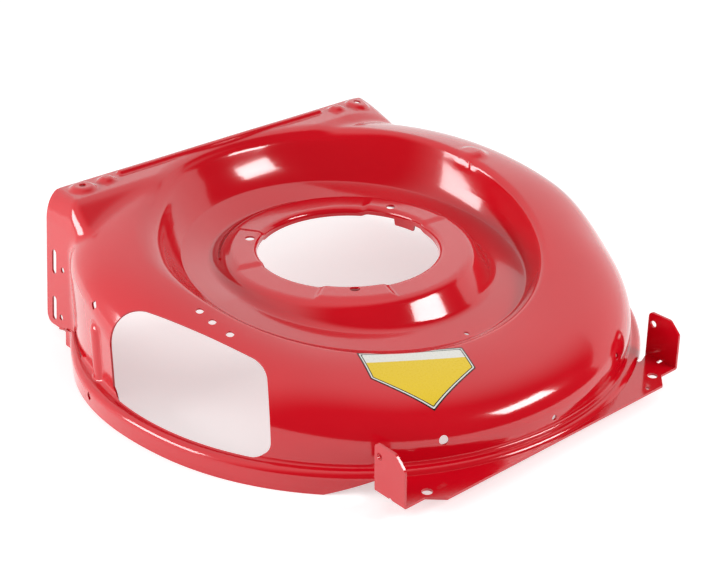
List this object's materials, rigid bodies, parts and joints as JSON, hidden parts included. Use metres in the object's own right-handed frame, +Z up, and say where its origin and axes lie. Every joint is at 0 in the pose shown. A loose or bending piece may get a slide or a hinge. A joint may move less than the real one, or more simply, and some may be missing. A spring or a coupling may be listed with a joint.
{
  "type": "lawn mower deck",
  "caption": "Pressed sheet-steel deck of a walk-behind rotary mower: domed blade housing with engine ring, side discharge opening, rear shelf, side flanges and folded front bracket.",
  "frame": {"origin": "on the crank axis, in the plane of the engine ring's top", "axes": "+Z up along the crank axis, -Y to the front of the mower, -X to its discharge side"},
  "size_m": [0.5827, 0.519, 0.1625],
  "materials": {
    "red_enamel": "high-gloss red enamel on sheet steel"
  },
  "bodies": {
    "root": {"deck_shell": "red_enamel", "front_bracket": "red_enamel"}
  },
  "joints": []
}
